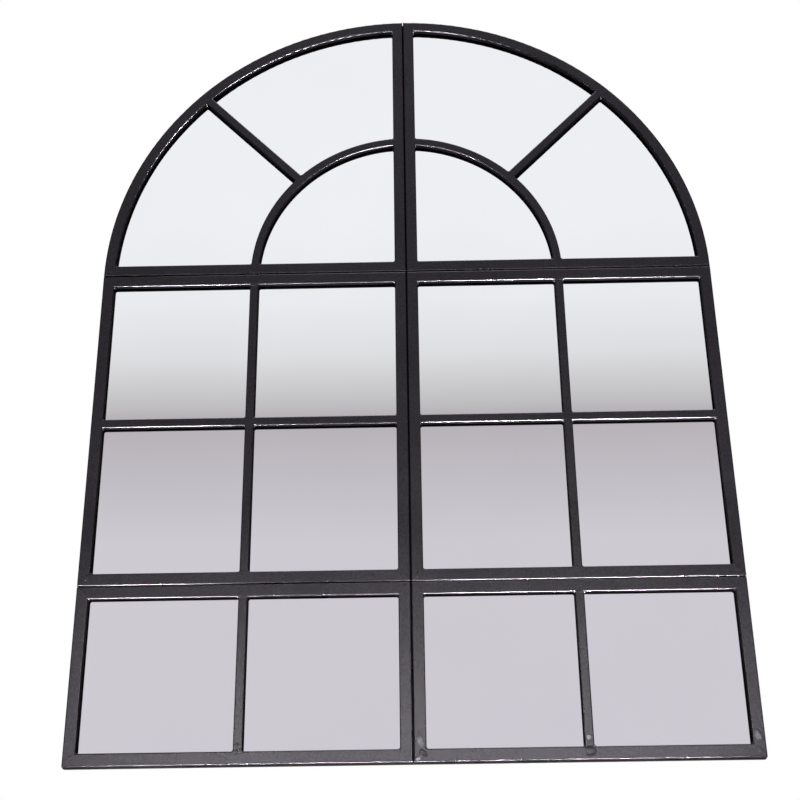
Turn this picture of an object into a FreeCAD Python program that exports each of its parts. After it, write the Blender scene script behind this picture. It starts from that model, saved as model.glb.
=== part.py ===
import FreeCAD, Part
import math
import os
import Sketcher

# Arched window mirror: six welded steel panels bolted side by side to the shape of an arched window.
# Two quarter-circle panels stand on two four-pane panels and two low two-pane panels. Each panel has
# a frame of rebated tube, glazing bars flush with its front, one mirror sheet behind the bars and a
# backboard that steel tabs hold in. X runs to the viewer's right, Z up, and the front looks along -Y.
# The wall plane is Y = 0, and the origin is midway between the two keyholes, where it hangs.

SIZES = [
    ("overall_width", 1100.0, "left outer edge to right outer edge"),
    ("low_height", 284.5, "low panel, top to bottom"),
    ("mid_height", 567.5, "middle panel, top to bottom"),
    ("frame_depth", 26.0, "front of the rails to the wall"),
    ("rail_face", 20.0, "face width of the outer rails"),
    ("tube_inset", 0.75, "tube's side, in from its flange: half of the dark groove at a seam"),
    ("bar_face", 15.0, "face width of the glazing bars"),
    ("tube_depth", 12.0, "depth of rail and bar tubes, front to glass"),
    ("tube_wall", 1.2, "wall of the tubes"),
    ("edge_radius", 2.0, "outer corner radius of the tubes"),
    ("flange_thick", 2.0, "flange behind each rail's outer edge, where neighbouring panels touch"),
    ("glass_thick", 3.0, "mirror sheet"),
    ("board_thick", 3.0, "backboard"),
    ("sheet_clearance", 0.5, "edge of the mirror to the flange"),
    ("fastener_clearance", 0.5, "around a nut: to the wall and to the edge of the backboard"),
    ("cope_reach", 1.5, "how far a bar's end laps over a rounded rail edge"),
    ("bolt_radius", 2.0, "seam bolt shank"),
    ("bolt_clearance", 0.25, "shank to flange hole"),
    ("thread_clearance", 0.05, "shank to nut or washer bore"),
    ("bolt_inset", 80.0, "seam bolt from the end of its rail"),
    ("hex_across", 7.0, "bolt head and nut across flats"),
    ("head_height", 2.8, "bolt head"),
    ("nut_height", 3.2, "nut"),
    ("bolt_spare", 1.3, "thread past the nut"),
    ("washer_radius", 3.6, "washer under the nut, outside"),
    ("washer_thick", 0.8, "washer under the nut"),
    ("tab_length", 20.0, "board tab along the flange"),
    ("tab_width", 12.0, "board tab over the board"),
    ("tab_thick", 1.5, "board tab"),
    ("tab_inset", 140.0, "board tab's middle from the end of a long rail"),
    ("tab_angle", 20.0, "board tab on the arch, degrees from each end"),
    ("hanger_angle", 45.0, "hanger plate's middle, degrees up the arch"),
    ("hanger_sweep", 9.0, "hanger plate along the arch, degrees"),
    ("hanger_width", 45.0, "hanger plate inwards from the flange"),
    ("hanger_thick", 2.0, "hanger plate"),
    ("keyhole_radius", 5.0, "keyhole's round entry"),
    ("keyslot_radius", 2.5, "half width of the keyhole's slot"),
    ("keyhole_rise", 11.0, "entry centre up to the slot's end centre"),
]
CUT_MARGIN = 1.1       # how far past a face a cutting outline runs, as a share of the face
CUT_RUN = 3.0          # how far past a face a cutting outline runs, in mm
QUARTER = 90.0
HALF_FLAT = 30.0       # degrees from the middle of a hexagon's flat to its corner

document = FreeCAD.newDocument("ArchedWindowMirror")
sheet = document.addObject("Spreadsheet::Sheet", "Size")


class Size:
    """A number with the spreadsheet expression that it comes from, so both stay in step."""

    def __init__(self, value, text):
        self.value = float(value)
        self.text = text

    def __add__(self, other):
        other = as_size(other)
        return Size(self.value + other.value, f"({self.text} + {other.text})")

    def __sub__(self, other):
        other = as_size(other)
        return Size(self.value - other.value, f"({self.text} - {other.text})")

    def __rsub__(self, other):
        return as_size(other) - self

    def __mul__(self, other):
        other = as_size(other)
        return Size(self.value * other.value, f"({self.text} * {other.text})")

    def __truediv__(self, other):
        other = as_size(other)
        return Size(self.value / other.value, f"({self.text} / {other.text})")

    def __neg__(self):
        return Size(-self.value, f"(0 - {self.text})")


def as_size(number):
    return number if isinstance(number, Size) else Size(number, repr(float(number)))


def root(size):
    return Size(math.sqrt(size.value), f"sqrt({size.text})")


def cosine(size):
    return Size(math.cos(math.radians(size.value)), f"cos({size.text} * 1 deg)")


def sine(size):
    return Size(math.sin(math.radians(size.value)), f"sin({size.text} * 1 deg)")


def leg(long_side, short_side):
    """The other leg of a right triangle with this long side."""
    return root(long_side * long_side - short_side * short_side)


# ---------------------------------------------------------------- sizes

cells = {}
for line, (alias, value, note) in enumerate(SIZES, start=1):
    sheet.set(f"A{line}", alias)
    sheet.set(f"B{line}", str(value))
    sheet.set(f"C{line}", note)
    sheet.setAlias(f"B{line}", alias)
    cells[alias] = Size(value, f"Size.{alias}")
document.recompute()

NOTHING = as_size(0)
frame_depth = cells["frame_depth"]
tube_inset = cells["tube_inset"]
rail_width = tube_inset + cells["rail_face"]
tube_wall = cells["tube_wall"]
edge_radius = cells["edge_radius"]
flange = cells["flange_thick"]
cope_reach = cells["cope_reach"]
low_height = cells["low_height"]
mid_height = cells["mid_height"]
bolt_inset = cells["bolt_inset"]
bolt_radius = cells["bolt_radius"]
thread_bore = bolt_radius + cells["thread_clearance"]

panel_width = cells["overall_width"] / 2
half_bar = cells["bar_face"] / 2
arch_base = low_height + mid_height
arch_radius = panel_width                     # the quarter circle is as high as it is wide
rail_inside = arch_radius - rail_width        # inner edge of the curved rail
arc_radius = panel_width / 2                  # the inner arc lands over the upright bars
arch_inset = arch_radius - leg(rail_inside, rail_width)     # the curved rail's mitre, along the straight one

tube_back = frame_depth - cells["tube_depth"]  # distances in front of the wall plane
glass_back = tube_back - cells["glass_thick"]
board_back = glass_back - cells["board_thick"]
bolt_line = cells["hex_across"] / 2 + cells["fastener_clearance"]
sheet_edge = flange + cells["sheet_clearance"]
nut_seat = flange + cells["washer_thick"]
board_edge = nut_seat + cells["nut_height"] + cells["bolt_spare"] + cells["fastener_clearance"]

hanger_outside = arch_radius - flange         # the hanger plates lie against the curved flanges
hanger_middle = hanger_outside - cells["hanger_width"] / 2
keyhole_across = hanger_middle * cosine(cells["hanger_angle"])
keyhole_up = hanger_middle * sine(cells["hanger_angle"]) - cells["keyhole_rise"] / 2
hang_height = arch_base + keyhole_up          # bottom edge up to the keyholes' round entries


# ---------------------------------------------------------------- drawing helpers

def new_body(label):
    body = document.addObject("PartDesign::Body", label)
    body.Label = label
    body.AllowCompound = True
    return body


def new_sketch(body, name, role, offset=NOTHING):
    """A sketch on one of the body's own origin planes, moved along that plane's normal."""
    plane = next(item for item in body.Origin.OriginFeatures if item.Role == role)
    sketch = body.newObject("Sketcher::SketchObject", name)
    sketch.AttachmentSupport = [(plane, "")]
    sketch.MapMode = "FlatFace"
    sketch.AttachmentOffset = FreeCAD.Placement(FreeCAD.Vector(0, 0, offset.value), FreeCAD.Rotation())
    if offset is not NOTHING:
        sketch.setExpression("AttachmentOffset.Base.z", offset.text)
    return sketch


def bind(sketch, kind, where, size):
    """One driving dimension of the sketch, tied to the spreadsheet."""
    index = sketch.addConstraint(Sketcher.Constraint(kind, *where, size.value))
    sketch.setExpression(f"Constraints[{index}]", size.text)


def draw_outline(sketch, corners, arcs=None):
    """A closed outline. arcs maps a corner's number to (centre, radius, turn) for the run after it."""
    arcs = arcs or {}
    first = sketch.GeometryCount
    count = len(corners)
    for number, (across, up) in enumerate(corners):
        next_across, next_up = corners[(number + 1) % count]
        start = FreeCAD.Vector(across.value, up.value, 0)
        end = FreeCAD.Vector(next_across.value, next_up.value, 0)
        if number in arcs:
            sketch.addGeometry(arc_run(start, end, *arcs[number]), False)
        else:
            sketch.addGeometry(Part.LineSegment(start, end), False)
    ends = []
    for number in range(count):
        turn = arcs[number][2] if number in arcs else 1
        ends.append((1, 2) if turn > 0 else (2, 1))
    for number in range(count):
        following = (number + 1) % count
        here, there = first + number, first + following
        sketch.addConstraint(Sketcher.Constraint("Coincident", here, ends[number][1],
                                                 there, ends[following][0]))
    for number, (across, up) in enumerate(corners):
        point = (first + number, ends[number][0])
        bind(sketch, "DistanceX", (-1, 1, *point), across)
        bind(sketch, "DistanceY", (-1, 1, *point), up)
    for number, (centre, radius, turn) in arcs.items():
        bind(sketch, "Radius", (first + number,), radius)


def arc_run(start, end, centre, radius, turn):
    """The arc from start to end, anticlockwise when turn is 1 and clockwise when it is -1."""
    middle = FreeCAD.Vector(centre[0].value, centre[1].value, 0)
    circle = Part.Circle(middle, FreeCAD.Vector(0, 0, 1), radius.value)
    low, high = (start, end) if turn > 0 else (end, start)
    low_angle = math.atan2(low.y - middle.y, low.x - middle.x)
    high_angle = math.atan2(high.y - middle.y, high.x - middle.x)
    if high_angle <= low_angle:
        high_angle += 2 * math.pi
    return Part.ArcOfCircle(circle, low_angle, high_angle)


def draw_circle(sketch, across, up, radius):
    middle = FreeCAD.Vector(across.value, up.value, 0)
    index = sketch.addGeometry(Part.Circle(middle, FreeCAD.Vector(0, 0, 1), radius.value), False)
    bind(sketch, "DistanceX", (-1, 1, index, 3), across)
    bind(sketch, "DistanceY", (-1, 1, index, 3), up)
    bind(sketch, "Radius", (index,), radius)


def draw_rectangle(sketch, left, low, right, high):
    draw_outline(sketch, [(left, low), (right, low), (right, high), (left, high)])


def draw_hexagon(sketch, across, up, across_flats, quarter_turn):
    """A hexagon whose flats face up and down the sketch, or sideways after a quarter turn."""
    half = across_flats / 2
    corner = half / cosine(as_size(HALF_FLAT))
    short = corner / 2
    around = [(corner, NOTHING), (short, half), (-short, half),
              (-corner, NOTHING), (-short, -half), (short, -half)]
    if quarter_turn:
        around = [(-rise, run) for run, rise in around]
    draw_outline(sketch, [(across + run, up + rise) for run, rise in around])


def pad(body, sketch, length):
    feature = body.newObject("PartDesign::Pad", "Pad")
    feature.Profile = sketch
    feature.Length = length.value
    feature.setExpression("Length", length.text)
    sketch.Visibility = False
    document.recompute()
    return feature


def cut_through(body, sketch, both_ways=False):
    """Cut the sketch through the whole body, towards its normal or both ways."""
    before = body.Shape.Volume
    feature = body.newObject("PartDesign::Pocket", "Cut")
    feature.Profile = sketch
    feature.Type = "ThroughAll"
    if both_ways:
        feature.Midplane = True
    else:
        feature.Reversed = True
    sketch.Visibility = False
    document.recompute()
    if body.Shape.Volume >= before:
        raise RuntimeError(f"{body.Label}: a cut removed nothing")
    return feature


def place(body, across, up, turn=0):
    """Put the body this far across and up from the bottom edge's middle, turned in the wall plane."""
    spin = FreeCAD.Rotation(FreeCAD.Vector(0, 1, 0), turn)
    above = up - hang_height
    body.Placement = FreeCAD.Placement(FreeCAD.Vector(across.value, 0, above.value), spin)
    body.setExpression("Placement.Base.x", across.text)
    body.setExpression("Placement.Base.z", above.text)
    return body


# ---------------------------------------------------------------- tube sections

def draw_rail_section(sketch, outer_edge, inwards):
    """Rebated tube: a box at the front and a flange behind its outer edge. inwards is 1 or -1."""
    def at(depth, reach):
        return -depth, outer_edge + reach * inwards

    front, radius = frame_depth, edge_radius
    corners = [
        at(NOTHING, NOTHING),
        at(NOTHING, flange),
        at(tube_back, flange),
        at(tube_back, rail_width - radius),
        at(tube_back + radius, rail_width),
        at(front - radius, rail_width),
        at(front, rail_width - radius),
        at(front, tube_inset + radius),
        at(front - radius, tube_inset),
        at(tube_back, tube_inset),
        at(tube_back, NOTHING),
    ]
    centres = {
        3: at(tube_back + radius, rail_width - radius),
        5: at(front - radius, rail_width - radius),
        7: at(front - radius, tube_inset + radius),
    }
    draw_outline(sketch, corners, {number: (centre, radius, inwards)
                                   for number, centre in centres.items()})
    near = outer_edge + (tube_inset + tube_wall) * inwards
    far = outer_edge + (rail_width - tube_wall) * inwards
    draw_bore(sketch, near, far)


def draw_bore(sketch, near, far):
    draw_rectangle(sketch, tube_wall - frame_depth, near, -(tube_back + tube_wall), far)


def draw_bar_section(sketch, middle):
    """Plain tube with four rounded corners, its middle at this height."""
    radius = edge_radius
    front, back = -frame_depth, -tube_back
    low, high = middle - half_bar, middle + half_bar
    corners = [
        (front + radius, low), (back - radius, low), (back, low + radius), (back, high - radius),
        (back - radius, high), (front + radius, high), (front, high - radius), (front, low + radius),
    ]
    centres = {
        1: (back - radius, low + radius), 3: (back - radius, high - radius),
        5: (front + radius, high - radius), 7: (front + radius, low + radius),
    }
    draw_outline(sketch, corners, {number: (centre, radius, 1) for number, centre in centres.items()})
    draw_bore(sketch, low + tube_wall, high - tube_wall)


def cope_points(face, away):
    """Where a bar's end follows the rounded front edge of the rail that it meets.

    face is where the rail's flat side stands and away is 1 or -1, out of the bar. The first point
    is on the flat side and the second near the front, with the arc's centre between them."""
    side = (face, edge_radius - frame_depth)
    lap = edge_radius - leg(edge_radius, edge_radius - cope_reach)
    tip = (face + cope_reach * away, lap - frame_depth)
    centre = (face + edge_radius * away, edge_radius - frame_depth)
    return side, tip, centre


# ---------------------------------------------------------------- straight pieces

def make_rail(label, length, inset_start, inset_end, bolted):
    """Straight rebated rail, outer edge along X, mitred at both ends."""
    body = new_body(label)
    section = new_sketch(body, "Section", "YZ_Plane")
    draw_rail_section(section, NOTHING, 1)
    pad(body, section, length)
    mitre = new_sketch(body, "Mitre", "XZ_Plane")
    top = rail_width * CUT_MARGIN
    start_top, end_top = inset_start * CUT_MARGIN, length - inset_end * CUT_MARGIN
    draw_outline(mitre, [(NOTHING, NOTHING), (start_top, top),
                         (as_size(-CUT_RUN), top), (as_size(-CUT_RUN), NOTHING)])
    draw_outline(mitre, [(length, NOTHING), (length + CUT_RUN, NOTHING),
                         (length + CUT_RUN, top), (end_top, top)])
    cut_through(body, mitre)
    if bolted:
        holes = new_sketch(body, "BoltHoles", "XY_Plane")
        for across in (bolt_inset, length - bolt_inset):
            draw_circle(holes, across, -bolt_line, bolt_radius + cells["bolt_clearance"])
        cut_through(body, holes)
    return body


def make_bar(label, length):
    """Straight glazing bar along X, its ends coped over the rounded edges that they meet."""
    body = new_body(label)
    section = new_sketch(body, "Section", "YZ_Plane", -cope_reach)
    draw_bar_section(section, NOTHING)
    pad(body, section, length + cope_reach * 2)
    cope = new_sketch(body, "Cope", "XY_Plane")
    behind = CUT_RUN - tube_back
    for face, away in ((NOTHING, -1), (length, 1)):
        side, tip, centre = cope_points(face, away)
        beyond = face + (cope_reach + CUT_RUN) * away
        corners = [tip, side, (face, behind), (beyond, behind), (beyond, tip[1])]
        draw_outline(cope, corners, {0: (centre, edge_radius, -away)})
    cut_through(body, cope, both_ways=True)
    return body


# ---------------------------------------------------------------- curved pieces

def revolve(body, sketch):
    """A quarter turn about the arch's centre, from straight up to the right."""
    feature = body.newObject("PartDesign::Revolution", "Bend")
    feature.Profile = sketch
    feature.ReferenceAxis = (sketch, ["H_Axis"])
    feature.Angle = QUARTER
    sketch.Visibility = False
    document.recompute()
    return feature


def make_curved_rail(label):
    """Quarter circle of rebated rail, cut where it meets the base rail and the seam stile."""
    body = new_body(label)
    section = new_sketch(body, "Section", "YZ_Plane")
    draw_rail_section(section, arch_radius, -1)
    revolve(body, section)
    mitre = new_sketch(body, "Mitre", "XZ_Plane")
    deep = (arch_radius - arch_inset * CUT_MARGIN, rail_width * CUT_MARGIN)
    low = as_size(-CUT_RUN)
    draw_outline(mitre, [(arch_radius, NOTHING), deep, (deep[0], low), (arch_radius, low)])
    draw_outline(mitre, [(NOTHING, arch_radius), (low, arch_radius), (low, deep[0]), (deep[1], deep[0])])
    cut_through(body, mitre)
    return body


def make_arc_bar(label):
    """Quarter circle of glazing bar, its ends coped over the base rail and the seam stile."""
    body = new_body(label)
    section = new_sketch(body, "Section", "YZ_Plane")
    draw_bar_section(section, arc_radius)
    revolve(body, section)
    side, tip, centre = cope_points(rail_width, -1)
    behind, before, start = CUT_RUN - tube_back, -(frame_depth + CUT_RUN), as_size(-CUT_RUN)
    corners = [tip, side, (rail_width, behind), (start, behind), (start, before), (tip[0], before)]
    left_end = new_sketch(body, "StileEnd", "XY_Plane")
    draw_outline(left_end, corners, {0: (centre, edge_radius, 1)})
    cut_through(body, left_end)
    low_end = new_sketch(body, "BaseEnd", "YZ_Plane")
    draw_outline(low_end, [(up, across) for across, up in corners],
                 {0: ((centre[1], centre[0]), edge_radius, -1)})
    cut_through(body, low_end)
    return body


# ---------------------------------------------------------------- sheets, tabs and hangers

def make_sheet(label, back, thick, edge, width, height):
    """Rectangular mirror sheet or backboard, its edge this far inside its panel's."""
    body = new_body(label)
    outline = new_sketch(body, "Outline", "XZ_Plane", back)
    draw_rectangle(outline, edge, edge, width - edge, height - edge)
    pad(body, outline, thick)
    return body


def make_quarter_sheet(label, back, thick, edge):
    """Quarter-circle mirror sheet or backboard."""
    body = new_body(label)
    outline = new_sketch(body, "Outline", "XZ_Plane", back)
    radius = arch_radius - edge
    far = leg(radius, edge)
    draw_outline(outline, [(edge, edge), (far, edge), (edge, far)],
                 {1: ((NOTHING, NOTHING), radius, 1)})
    pad(body, outline, thick)
    return body


def tab_sketch(body):
    return new_sketch(body, "Tabs", "XZ_Plane", board_back - cells["tab_thick"])


def draw_edge_tabs(sketch, width, height, stile_places):
    """Tabs on the flanges of a rectangular panel: two along the bottom, two along the top."""
    half, reach = cells["tab_length"] / 2, cells["tab_width"]
    inset = cells["tab_inset"]
    for middle in (inset, width - inset):
        draw_rectangle(sketch, middle - half, flange, middle + half, flange + reach)
        draw_rectangle(sketch, middle - half, height - flange - reach, middle + half, height - flange)
    for middle in stile_places:
        draw_rectangle(sketch, flange, middle - half, flange + reach, middle + half)
        draw_rectangle(sketch, width - flange - reach, middle - half, width - flange, middle + half)


def make_panel_tabs(label, height, stile_places):
    body = new_body(label)
    tabs = tab_sketch(body)
    draw_edge_tabs(tabs, panel_width, height, stile_places)
    pad(body, tabs, cells["tab_thick"])
    return body


def make_arch_tabs(label):
    """Tabs of a quarter-circle panel: two on each straight flange and two on the curved one."""
    body = new_body(label)
    tabs = tab_sketch(body)
    half, reach = cells["tab_length"] / 2, cells["tab_width"]
    inset = cells["tab_inset"]
    for middle in (inset, arch_radius - inset):
        draw_rectangle(tabs, middle - half, flange, middle + half, flange + reach)
        draw_rectangle(tabs, flange, middle - half, flange + reach, middle + half)
    outer = leg(arch_radius - flange, half)
    inner = outer - reach
    for angle in (cells["tab_angle"], as_size(QUARTER) - cells["tab_angle"]):
        along, aside = cosine(angle), sine(angle)
        draw_outline(tabs, [(radius * along - side * aside, radius * aside + side * along)
                            for radius, side in ((inner, -half), (outer, -half),
                                                 (outer, half), (inner, half))])
    pad(body, tabs, cells["tab_thick"])
    return body


def make_hanger(label, hand):
    """Plate welded to the curved flange, with a keyhole for a wall screw. hand is 1 right, -1 left."""
    body = new_body(label)
    plate = new_sketch(body, "Plate", "XZ_Plane")
    outer = hanger_outside
    inner = outer - cells["hanger_width"]
    low = cells["hanger_angle"] - cells["hanger_sweep"] / 2
    high = cells["hanger_angle"] + cells["hanger_sweep"] / 2
    origin = (NOTHING, NOTHING)
    corners = [(radius * cosine(angle) * hand, radius * sine(angle))
               for radius, angle in ((outer, low), (outer, high), (inner, high), (inner, low))]
    draw_outline(plate, corners, {0: (origin, outer, hand), 2: (origin, inner, -hand)})
    draw_keyhole(plate, keyhole_across * hand, keyhole_up)
    pad(body, plate, cells["hanger_thick"])
    return body


def draw_keyhole(sketch, across, entry):
    """Round entry below and a narrow slot that rises from it."""
    half, radius = cells["keyslot_radius"], cells["keyhole_radius"]
    top = entry + cells["keyhole_rise"]
    shoulder = entry + leg(radius, half)
    corners = [(across + half, shoulder), (across + half, top), (across, top + half),
               (across - half, top), (across - half, shoulder)]
    slot_end = ((across, top), half, 1)
    draw_outline(sketch, corners, {1: slot_end, 2: slot_end, 4: ((across, entry), radius, 1)})


# ---------------------------------------------------------------- seam fasteners

centre_rows = []       # heights of the bolts through the middle seam
for base, height in ((NOTHING, low_height), (low_height, mid_height), (arch_base, arch_radius)):
    centre_rows += [base + bolt_inset, base + height - bolt_inset]
cross_places = []      # places of the bolts along each level seam
for hand in (-1, 1):
    for along in (bolt_inset, panel_width - bolt_inset):
        cross_places.append(along * hand)
level_seams = [low_height, arch_base]


def seam_rings(body, start, length, radii=(), across_flats=None):
    """Pad one section at every seam bolt: circles of these radii, and a hexagon where one is wanted.

    start is measured from the seam along the bolt."""
    def section(sketch, across, up, quarter_turn):
        if across_flats:
            draw_hexagon(sketch, across, up, across_flats, quarter_turn)
        for radius in radii:
            draw_circle(sketch, across, up, radius)

    centre = new_sketch(body, "CentreSeam", "YZ_Plane", start)
    for up in centre_rows:
        section(centre, -bolt_line, up, True)
    pad(body, centre, length)
    for seam in level_seams:
        level = new_sketch(body, "LevelSeam", "XY_Plane", seam + start)
        for across in cross_places:
            section(level, across, -bolt_line, False)
        pad(body, level, length)


def make_bolts(label):
    body = new_body(label)
    head = cells["head_height"]
    seam_rings(body, -(flange + head), head, across_flats=cells["hex_across"])
    shank = flange + nut_seat + cells["nut_height"] + cells["bolt_spare"]
    seam_rings(body, -flange, shank, [bolt_radius])
    return body


def make_nuts(label):
    body = new_body(label)
    seam_rings(body, nut_seat, cells["nut_height"], [thread_bore], cells["hex_across"])
    return body


def make_washers(label):
    body = new_body(label)
    seam_rings(body, flange, cells["washer_thick"], [cells["washer_radius"], thread_bore])
    return body


# ---------------------------------------------------------------- panels

pieces = []
UPRIGHT, DOWN, OVER = -90, 90, 180     # turns that carry a piece's X up, down and to the left


def keep(body):
    pieces.append(body)


def panel_left(hand):
    """X of a panel's left edge."""
    return NOTHING if hand > 0 else -panel_width


def build_frame(name, hand, base, height, top_bolted, bottom_bolted):
    """The four mitred rails of a rectangular panel."""
    left = panel_left(hand)
    right = left + panel_width
    mitre = rail_width
    seam_side, outer_side = (f"{name}_seam_stile", f"{name}_outer_stile")
    left_label, right_label = (seam_side, outer_side) if hand > 0 else (outer_side, seam_side)
    keep(place(make_rail(f"{name}_bottom_rail", panel_width, mitre, mitre, bottom_bolted), left, base))
    keep(place(make_rail(f"{name}_top_rail", panel_width, mitre, mitre, top_bolted),
               right, base + height, OVER))
    keep(place(make_rail(left_label, height, mitre, mitre, hand > 0), left, base + height, DOWN))
    keep(place(make_rail(right_label, height, mitre, mitre, hand < 0), right, base, UPRIGHT))


def build_sheets(name, hand, base, height):
    """The mirror sheet and the backboard of a rectangular panel."""
    left = panel_left(hand)
    mirror = make_sheet(f"{name}_mirror", glass_back, cells["glass_thick"], sheet_edge,
                        panel_width, height)
    keep(place(mirror, left, base))
    board = make_sheet(f"{name}_backboard", board_back, cells["board_thick"], board_edge,
                       panel_width, height)
    keep(place(board, left, base))


def build_low_panel(name, hand):
    build_frame(name, hand, NOTHING, low_height, True, False)
    left = panel_left(hand)
    upright = make_bar(f"{name}_upright_bar", low_height - rail_width * 2)
    keep(place(upright, left + panel_width / 2, rail_width, UPRIGHT))
    build_sheets(name, hand, NOTHING, low_height)
    keep(place(make_panel_tabs(f"{name}_board_tabs", low_height, [low_height / 2]), left, NOTHING))


def build_mid_panel(name, hand):
    build_frame(name, hand, low_height, mid_height, True, True)
    left = panel_left(hand)
    middle = left + panel_width / 2
    upright = make_bar(f"{name}_upright_bar", mid_height - rail_width * 2)
    keep(place(upright, middle, low_height + rail_width, UPRIGHT))
    reach = panel_width / 2 - rail_width - half_bar
    level = low_height + mid_height / 2
    left_label, right_label = ("inner", "outer") if hand > 0 else ("outer", "inner")
    keep(place(make_bar(f"{name}_cross_bar_{left_label}", reach), left + rail_width, level))
    keep(place(make_bar(f"{name}_cross_bar_{right_label}", reach), middle + half_bar, level))
    build_sheets(name, hand, low_height, mid_height)
    places = [cells["tab_inset"], mid_height - cells["tab_inset"]]
    keep(place(make_panel_tabs(f"{name}_board_tabs", mid_height, places), left, low_height))


def build_arch_panel(name, hand):
    """A quarter-circle panel. The left one is the right one turned a quarter about its corner."""
    turn = 0 if hand > 0 else UPRIGHT
    keep(place(make_curved_rail(f"{name}_outer_rail"), NOTHING, arch_base, turn))
    level_label, seam_label = f"{name}_base_rail", f"{name}_seam_stile"
    first, second = (level_label, seam_label) if hand > 0 else (seam_label, level_label)
    keep(place(make_rail(first, arch_radius, rail_width, arch_inset, True), NOTHING, arch_base, turn))
    across, up = (NOTHING, arch_base + arch_radius) if hand > 0 else (-arch_radius, arch_base)
    keep(place(make_rail(second, arch_radius, arch_inset, rail_width, True), across, up, turn + DOWN))
    keep(place(make_arc_bar(f"{name}_inner_arc"), NOTHING, arch_base, turn))
    start = arc_radius + half_bar
    spoke = make_bar(f"{name}_spoke", leg(rail_inside, half_bar) - start)
    shift = start * cosine(as_size(QUARTER / 2))
    keep(place(spoke, shift * hand, arch_base + shift, turn - QUARTER / 2))
    mirror = make_quarter_sheet(f"{name}_mirror", glass_back, cells["glass_thick"], sheet_edge)
    keep(place(mirror, NOTHING, arch_base, turn))
    board = make_quarter_sheet(f"{name}_backboard", board_back, cells["board_thick"], board_edge)
    keep(place(board, NOTHING, arch_base, turn))
    keep(place(make_arch_tabs(f"{name}_board_tabs"), NOTHING, arch_base, turn))
    keep(place(make_hanger(f"{name}_hanger_plate", hand), NOTHING, arch_base))


for side, hand in (("left", -1), ("right", 1)):        # hand is 1 right, -1 left
    build_arch_panel(f"{side}_arch", hand)
    build_mid_panel(f"{side}_mid", hand)
    build_low_panel(f"{side}_low", hand)
keep(place(make_bolts("seam_bolts"), NOTHING, NOTHING))
keep(place(make_nuts("seam_nuts"), NOTHING, NOTHING))
keep(place(make_washers("seam_washers"), NOTHING, NOTHING))


# ---------------------------------------------------------------- check and write

document.recompute()
for item in document.Objects:
    if "Invalid" in item.State or "Error" in item.State:
        raise RuntimeError(f"{item.Label}: {item.State}")
os.makedirs("parts", exist_ok=True)
for body in pieces:
    shape = body.Shape
    if shape.isNull() or not shape.isValid():
        raise RuntimeError(f"{body.Label}: bad shape")
    shape.exportStep(f"parts/{body.Label}.step")
    print(body.Label, len(shape.Solids), round(shape.Volume))
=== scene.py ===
import math

import bmesh
import bpy
from mathutils import Matrix, Vector
from mathutils import noise as mathnoise


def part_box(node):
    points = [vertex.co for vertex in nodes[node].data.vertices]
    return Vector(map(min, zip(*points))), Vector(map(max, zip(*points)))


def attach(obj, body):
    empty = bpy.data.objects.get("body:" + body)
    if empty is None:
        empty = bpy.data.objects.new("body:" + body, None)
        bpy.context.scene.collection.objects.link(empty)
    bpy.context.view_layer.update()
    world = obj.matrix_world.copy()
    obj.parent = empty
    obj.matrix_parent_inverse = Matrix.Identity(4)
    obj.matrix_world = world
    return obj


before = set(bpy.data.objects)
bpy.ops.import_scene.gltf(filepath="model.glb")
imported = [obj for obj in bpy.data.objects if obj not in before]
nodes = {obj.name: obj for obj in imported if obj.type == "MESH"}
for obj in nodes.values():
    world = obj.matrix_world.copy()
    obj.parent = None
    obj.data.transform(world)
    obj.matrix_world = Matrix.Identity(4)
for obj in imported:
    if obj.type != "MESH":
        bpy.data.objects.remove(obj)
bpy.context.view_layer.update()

# Arched window mirror: black powder-coated steel panels with glazing bars over mirror sheets.
# +X is the viewer's right, +Z up, and the mirror faces -Y. The wall plane is Y = 0.
# Lengths are in metres and colours in linear red, green and blue, unless a line says otherwise.

scene = bpy.context.scene


# ---------------------------------------------------------------- places read from the frame

def low_corner(name):
    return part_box(name)[0]


def high_corner(name):
    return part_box(name)[1]


FRONT = low_corner("left_low_bottom_rail").y            # front face of the rails
BOTTOM = low_corner("left_low_bottom_rail").z           # underside of the whole mirror
GLASS = low_corner("left_low_mirror").y                 # front of the mirror sheets
BOARD_BACK = high_corner("left_low_backboard").y
TAB_BACK = high_corner("left_low_board_tabs").y         # the tabs' side towards the wall
RADIUS = high_corner("right_arch_outer_rail").x         # of the arch, about the seam at its base
ARCH_BASE = low_corner("right_arch_base_rail").z
RAIL = high_corner("right_arch_base_rail").z - ARCH_BASE        # panel edge to the pane's edge
BAR_LEFT = low_corner("right_low_upright_bar").x
BAR_RIGHT = high_corner("right_low_upright_bar").x
BAR = BAR_RIGHT - BAR_LEFT                              # width of the bars
BAR_MIDDLE = (BAR_LEFT + BAR_RIGHT) / 2                 # of the right low panel's upright bar
ARC_OUTSIDE = math.hypot(high_corner("right_arch_inner_arc").x,
                         low_corner("right_arch_inner_arc").z - ARCH_BASE)
ARC_INSIDE = ARC_OUTSIDE - BAR
FLANGE = RADIUS - high_corner("right_low_board_tabs").x         # thickness of the flanges
STRAIGHT_FRAME = ("outer_stile", "seam_stile", "bottom_rail", "top_rail")
ARCH_FRAME = ("outer_rail", "seam_stile", "base_rail")


# ---------------------------------------------------------------- shader helpers

NOISE_SPAN = (0.3, 0.7)            # nearly all values of a noise lie in here
NOISE_CORE = (0.35, 0.65)          # and most of them in here


def new_material(name):
    """A node material, its tree and its Principled shader."""
    material = bpy.data.materials.new(name)
    material.use_nodes = True
    tree = material.node_tree
    shader = tree.nodes["Principled BSDF"]
    return material, tree, shader


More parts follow.
